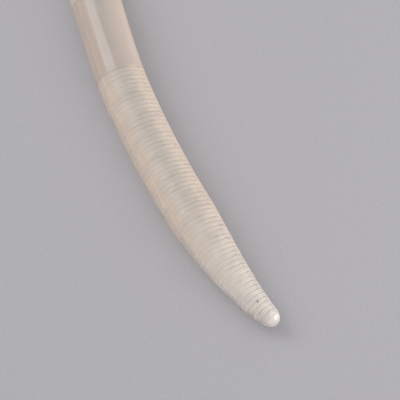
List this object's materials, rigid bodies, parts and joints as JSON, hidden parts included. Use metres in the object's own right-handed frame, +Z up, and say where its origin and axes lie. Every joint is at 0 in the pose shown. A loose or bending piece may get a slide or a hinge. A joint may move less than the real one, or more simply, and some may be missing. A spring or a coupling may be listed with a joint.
{
  "type": "soft plastic worm",
  "caption": "Straight soft plastic fishing worm: ringed translucent body with a smooth collar and a long tapering tail, jointed so that it bends along its whole length.",
  "frame": {"origin": "on the resting surface, below the centre of the bounding box", "axes": "+X from the tail tip towards the nose, +Z up"},
  "size_m": [0.1288, 0.0156, 0.0096],
  "materials": {
    "plastisol": "soft clear plastisol with a pale peach tint, satin"
  },
  "bodies": {
    "collar": {"collar": "plastisol"},
    "head_section_1": {"head_section_1": "plastisol"},
    "head_section_2": {"head_section_2": "plastisol"},
    "head_section_3": {"head_section_3": "plastisol"},
    "head_section_4": {"head_section_4": "plastisol"},
    "head_section_5": {"head_section_5": "plastisol"},
    "head_section_6": {"head_section_6": "plastisol"},
    "head_section_7": {"head_section_7": "plastisol"},
    "head_section_8": {"head_section_8": "plastisol"},
    "head_section_9": {"head_section_9": "plastisol"},
    "nose": {"nose": "plastisol"},
    "tail_section_01": {"tail_section_01": "plastisol"},
    "tail_section_02": {"tail_section_02": "plastisol"},
    "tail_section_03": {"tail_section_03": "plastisol"},
    "tail_section_04": {"tail_section_04": "plastisol"},
    "tail_section_05": {"tail_section_05": "plastisol"},
    "tail_section_06": {"tail_section_06": "plastisol"},
    "tail_section_07": {"tail_section_07": "plastisol"},
    "tail_section_08": {"tail_section_08": "plastisol"},
    "tail_section_09": {"tail_section_09": "plastisol"},
    "tail_section_10": {"tail_section_10": "plastisol"},
    "tail_section_11": {"tail_section_11": "plastisol"},
    "tail_tip": {"tail_tip": "plastisol"}
  },
  "joints": [
    {"name": "head_section_1_sway", "type": "hinge", "parent": "collar", "child": "head_section_1", "pos_m": [0.01494, 0.00053, 0.00477], "axis": [0, 0, 1], "range_deg": [-25, 25], "stiffness_Nm_per_rad": 0.004},
    {"name": "head_section_2_lift", "type": "hinge", "parent": "head_section_1", "child": "head_section_2", "pos_m": [0.01981, 0.00001, 0.00477], "axis": [0.1054, 0.9944, 0], "range_deg": [-25, 25], "stiffness_Nm_per_rad": 0.004},
    {"name": "head_section_3_sway", "type": "hinge", "parent": "head_section_2", "child": "head_section_3", "pos_m": [0.02469, -0.0005, 0.00477], "axis": [0, 0, 1], "range_deg": [-25, 25], "stiffness_Nm_per_rad": 0.004},
    {"name": "head_section_4_lift", "type": "hinge", "parent": "head_section_3", "child": "head_section_4", "pos_m": [0.02956, -0.00102, 0.00477], "axis": [0.1054, 0.9944, 0], "range_deg": [-25, 25], "stiffness_Nm_per_rad": 0.004},
    {"name": "head_section_5_sway", "type": "hinge", "parent": "head_section_4", "child": "head_section_5", "pos_m": [0.03443, -0.00154, 0.00477], "axis": [0, 0, 1], "range_deg": [-25, 25], "stiffness_Nm_per_rad": 0.004},
    {"name": "head_section_6_lift", "type": "hinge", "parent": "head_section_5", "child": "head_section_6", "pos_m": [0.0393, -0.00205, 0.00476], "axis": [0.1054, 0.9944, 0], "range_deg": [-25, 25], "stiffness_Nm_per_rad": 0.004},
    {"name": "head_section_7_sway", "type": "hinge", "parent": "head_section_6", "child": "head_section_7", "pos_m": [0.04418, -0.00257, 0.00469], "axis": [0, 0, 1], "range_deg": [-25, 25], "stiffness_Nm_per_rad": 0.004},
    {"name": "head_section_8_lift", "type": "hinge", "parent": "head_section_7", "child": "head_section_8", "pos_m": [0.04905, -0.00309, 0.00457], "axis": [0.1054, 0.9944, 0], "range_deg": [-25, 25], "stiffness_Nm_per_rad": 0.004},
    {"name": "head_section_9_sway", "type": "hinge", "parent": "head_section_8", "child": "head_section_9", "pos_m": [0.05392, -0.0036, 0.0044], "axis": [0, 0, 1], "range_deg": [-25, 25], "stiffness_Nm_per_rad": 0.004},
    {"name": "nose_lift", "type": "hinge", "parent": "head_section_9", "child": "nose", "pos_m": [0.05879, -0.00412, 0.00416], "axis": [0.1054, 0.9944, 0], "range_deg": [-25, 25], "stiffness_Nm_per_rad": 0.004},
    {"name": "tail_section_01_sway", "type": "hinge", "parent": "collar", "child": "tail_section_01", "pos_m": [-0.00743, 0.0029, 0.00477], "axis": [0, 0, 1], "range_deg": [-25, 25], "stiffness_Nm_per_rad": 0.004},
    {"name": "tail_section_02_lift", "type": "hinge", "parent": "tail_section_01", "child": "tail_section_02", "pos_m": [-0.01233, 0.00297, 0.00477], "axis": [0.0046, -1, 0], "range_deg": [-25, 25], "stiffness_Nm_per_rad": 0.004},
    {"name": "tail_section_03_sway", "type": "hinge", "parent": "tail_section_02", "child": "tail_section_03", "pos_m": [-0.01723, 0.00295, 0.00477], "axis": [0, 0, 1], "range_deg": [-25, 25], "stiffness_Nm_per_rad": 0.004},
    {"name": "tail_section_04_lift", "type": "hinge", "parent": "tail_section_03", "child": "tail_section_04", "pos_m": [-0.02213, 0.00281, 0.00477], "axis": [0.0506, -0.9987, 0], "range_deg": [-25, 25], "stiffness_Nm_per_rad": 0.004},
    {"name": "tail_section_05_sway", "type": "hinge", "parent": "tail_section_04", "child": "tail_section_05", "pos_m": [-0.02702, 0.00256, 0.00477], "axis": [0, 0, 1], "range_deg": [-25, 25], "stiffness_Nm_per_rad": 0.004},
    {"name": "tail_section_06_lift", "type": "hinge", "parent": "tail_section_05", "child": "tail_section_06", "pos_m": [-0.03191, 0.00219, 0.00477], "axis": [0.099, -0.9951, 0], "range_deg": [-25, 25], "stiffness_Nm_per_rad": 0.004},
    {"name": "tail_section_07_sway", "type": "hinge", "parent": "tail_section_06", "child": "tail_section_07", "pos_m": [-0.03679, 0.00171, 0.00477], "axis": [0, 0, 1], "range_deg": [-25, 25], "stiffness_Nm_per_rad": 0.004},
    {"name": "tail_section_08_lift", "type": "hinge", "parent": "tail_section_07", "child": "tail_section_08", "pos_m": [-0.04165, 0.0011, 0.00464], "axis": [0.1543, -0.988, 0], "range_deg": [-25, 25], "stiffness_Nm_per_rad": 0.004},
    {"name": "tail_section_09_sway", "type": "hinge", "parent": "tail_section_08", "child": "tail_section_09", "pos_m": [-0.04649, 0.00034, 0.00441], "axis": [0, 0, 1], "range_deg": [-25, 25], "stiffness_Nm_per_rad": 0.004},
    {"name": "tail_section_10_lift", "type": "hinge", "parent": "tail_section_09", "child": "tail_section_10", "pos_m": [-0.0513, -0.00059, 0.00413], "axis": [0.2384, -0.9712, 0], "range_deg": [-25, 25], "stiffness_Nm_per_rad": 0.004},
    {"name": "tail_section_11_sway", "type": "hinge", "parent": "tail_section_10", "child": "tail_section_11", "pos_m": [-0.05606, -0.00175, 0.0038], "axis": [0, 0, 1], "range_deg": [-25, 25], "stiffness_Nm_per_rad": 0.004},
    {"name": "tail_tip_lift", "type": "hinge", "parent": "tail_section_11", "child": "tail_tip", "pos_m": [-0.06073, -0.00324, 0.00344], "axis": [0.3824, -0.924, 0], "range_deg": [-25, 25], "stiffness_Nm_per_rad": 0.004}
  ]
}
